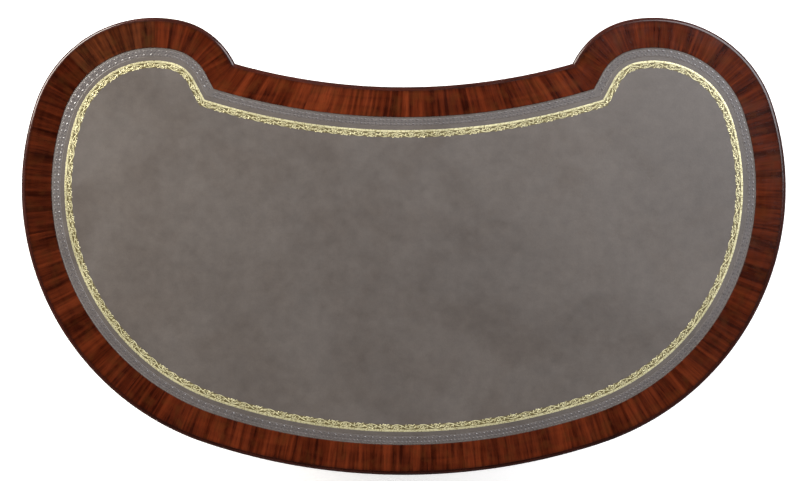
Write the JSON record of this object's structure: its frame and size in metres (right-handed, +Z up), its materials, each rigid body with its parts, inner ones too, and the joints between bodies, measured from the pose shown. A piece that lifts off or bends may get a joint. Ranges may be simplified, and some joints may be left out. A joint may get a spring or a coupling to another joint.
{
  "type": "kidney-shaped pedestal desk",
  "caption": "Kidney-shaped pedestal writing desk: crossbanded top with leather, bow-fronted drawers with brass bails, hollow-fronted centre drawer over the kneehole, panelled convex back.",
  "frame": {"origin": "on the floor, under the middle of the top", "axes": "+X along the desk's width, to the sitter's right; +Y away from the sitter; +Z up"},
  "size_m": [1.3698, 0.82, 0.775],
  "materials": {
    "mahogany": "french polished",
    "crossbanding": "french polished",
    "carcase_wood": "planed, unfinished",
    "drawer_lining": "waxed",
    "leather": "tooled skiver",
    "brass": "polished, lacquered",
    "steel": "plain"
  },
  "bodies": {
    "carcase": {"top_core": "carcase_wood", "top_edge_moulding": "mahogany", "top_crossbanding": "crossbanding", "leather_skiver": "leather", "top_battens": "carcase_wood", "top_screws": "steel", "right_outer_panel": "mahogany", "left_outer_panel": "mahogany", "right_kneehole_panel": "mahogany", "left_kneehole_panel": "mahogany", "modesty_panel": "mahogany", "front_posts": "mahogany", "drawer_rails": "mahogany", "kneehole_rails": "mahogany", "guide_panels": "carcase_wood", "partitions": "carcase_wood", "bottom_boards": "carcase_wood", "runners_and_stops": "carcase_wood", "right_plinth": "mahogany", "left_plinth": "mahogany", "centre_plinth": "mahogany", "back_mouldings": "mahogany"},
    "right_drawer_1": {"right_drawer_1_front": "mahogany", "right_drawer_1_box": "drawer_lining", "right_drawer_1_brass": "brass"},
    "left_drawer_1": {"left_drawer_1_front": "mahogany", "left_drawer_1_box": "drawer_lining", "left_drawer_1_brass": "brass"},
    "right_drawer_1_bail": {"right_drawer_1_bail": "brass"},
    "left_drawer_1_bail": {"left_drawer_1_bail": "brass"},
    "right_drawer_2": {"right_drawer_2_front": "mahogany", "right_drawer_2_box": "drawer_lining", "right_drawer_2_brass": "brass"},
    "left_drawer_2": {"left_drawer_2_front": "mahogany", "left_drawer_2_box": "drawer_lining", "left_drawer_2_brass": "brass"},
    "right_drawer_2_bail": {"right_drawer_2_bail": "brass"},
    "left_drawer_2_bail": {"left_drawer_2_bail": "brass"},
    "right_drawer_3": {"right_drawer_3_front": "mahogany", "right_drawer_3_box": "drawer_lining", "right_drawer_3_brass": "brass"},
    "left_drawer_3": {"left_drawer_3_front": "mahogany", "left_drawer_3_box": "drawer_lining", "left_drawer_3_brass": "brass"},
    "right_drawer_3_bail": {"right_drawer_3_bail": "brass"},
    "left_drawer_3_bail": {"left_drawer_3_bail": "brass"},
    "right_drawer_4": {"right_drawer_4_front": "mahogany", "right_drawer_4_box": "drawer_lining", "right_drawer_4_brass": "brass"},
    "left_drawer_4": {"left_drawer_4_front": "mahogany", "left_drawer_4_box": "drawer_lining", "left_drawer_4_brass": "brass"},
    "right_drawer_4_bail": {"right_drawer_4_bail": "brass"},
    "left_drawer_4_bail": {"left_drawer_4_bail": "brass"},
    "centre_drawer": {"centre_drawer_front": "mahogany", "centre_drawer_box": "drawer_lining", "centre_drawer_brass": "brass"},
    "centre_lock_bolt": {"centre_drawer_lock_bolt": "brass"},
    "centre_drawer_right_bail": {"centre_drawer_right_bail": "brass"},
    "centre_drawer_left_bail": {"centre_drawer_left_bail": "brass"}
  },
  "joints": [
    {"name": "right_drawer_1_slide", "type": "slide", "parent": "carcase", "child": "right_drawer_1", "axis": [0, -1, 0], "range_m": [0, 0.3]},
    {"name": "right_drawer_1_bail_swing", "type": "hinge", "parent": "right_drawer_1", "child": "right_drawer_1_bail", "pos_m": [0.46989, -0.39674, 0.68208], "axis": [-0.9942, -0.1079, 0], "range_deg": [-15, 100]},
    {"name": "left_drawer_1_slide", "type": "slide", "parent": "carcase", "child": "left_drawer_1", "axis": [0, -1, 0], "range_m": [0, 0.3]},
    {"name": "left_drawer_1_bail_swing", "type": "hinge", "parent": "left_drawer_1", "child": "left_drawer_1_bail", "pos_m": [-0.46989, -0.39674, 0.68208], "axis": [-0.9942, 0.1079, 0], "range_deg": [-15, 100]},
    {"name": "right_drawer_2_slide", "type": "slide", "parent": "carcase", "child": "right_drawer_2", "axis": [0, -1, 0], "range_m": [0, 0.3]},
    {"name": "right_drawer_2_bail_swing", "type": "hinge", "parent": "right_drawer_2", "child": "right_drawer_2_bail", "pos_m": [0.46989, -0.39674, 0.5352], "axis": [-0.9942, -0.1079, 0], "range_deg": [-15, 100]},
    {"name": "left_drawer_2_slide", "type": "slide", "parent": "carcase", "child": "left_drawer_2", "axis": [0, -1, 0], "range_m": [0, 0.3]},
    {"name": "left_drawer_2_bail_swing", "type": "hinge", "parent": "left_drawer_2", "child": "left_drawer_2_bail", "pos_m": [-0.46989, -0.39674, 0.5352], "axis": [-0.9942, 0.1079, 0], "range_deg": [-15, 100]},
    {"name": "right_drawer_3_slide", "type": "slide", "parent": "carcase", "child": "right_drawer_3", "axis": [0, -1, 0], "range_m": [0, 0.3]},
    {"name": "right_drawer_3_bail_swing", "type": "hinge", "parent": "right_drawer_3", "child": "right_drawer_3_bail", "pos_m": [0.46989, -0.39674, 0.3742], "axis": [-0.9942, -0.1079, 0], "range_deg": [-15, 100]},
    {"name": "left_drawer_3_slide", "type": "slide", "parent": "carcase", "child": "left_drawer_3", "axis": [0, -1, 0], "range_m": [0, 0.3]},
    {"name": "left_drawer_3_bail_swing", "type": "hinge", "parent": "left_drawer_3", "child": "left_drawer_3_bail", "pos_m": [-0.46989, -0.39674, 0.3742], "axis": [-0.9942, 0.1079, 0], "range_deg": [-15, 100]},
    {"name": "right_drawer_4_slide", "type": "slide", "parent": "carcase", "child": "right_drawer_4", "axis": [0, -1, 0], "range_m": [0, 0.3]},
    {"name": "right_drawer_4_bail_swing", "type": "hinge", "parent": "right_drawer_4", "child": "right_drawer_4_bail", "pos_m": [0.46989, -0.39674, 0.19908], "axis": [-0.9942, -0.1079, 0], "range_deg": [-15, 100]},
    {"name": "left_drawer_4_slide", "type": "slide", "parent": "carcase", "child": "left_drawer_4", "axis": [0, -1, 0], "range_m": [0, 0.3]},
    {"name": "left_drawer_4_bail_swing", "type": "hinge", "parent": "left_drawer_4", "child": "left_drawer_4_bail", "pos_m": [-0.46989, -0.39674, 0.19908], "axis": [-0.9942, 0.1079, 0], "range_deg": [-15, 100]},
    {"name": "centre_drawer_slide", "type": "slide", "parent": "carcase", "child": "centre_drawer", "axis": [0, -1, 0], "range_m": [0, 0.3]},
    {"name": "centre_drawer_right_bail_swing", "type": "hinge", "parent": "centre_drawer", "child": "centre_drawer_right_bail", "pos_m": [0.16106, -0.28869, 0.68208], "axis": [-0.9897, 0.1435, 0], "range_deg": [-15, 100]},
    {"name": "centre_drawer_left_bail_swing", "type": "hinge", "parent": "centre_drawer", "child": "centre_drawer_left_bail", "pos_m": [-0.16106, -0.28869, 0.68208], "axis": [-0.9897, -0.1435, 0], "range_deg": [-15, 100]},
    {"name": "centre_lock_bolt_slide", "type": "slide", "parent": "centre_drawer", "child": "centre_lock_bolt", "axis": [0, 0, 1], "range_m": [0, 0.007]}
  ]
}
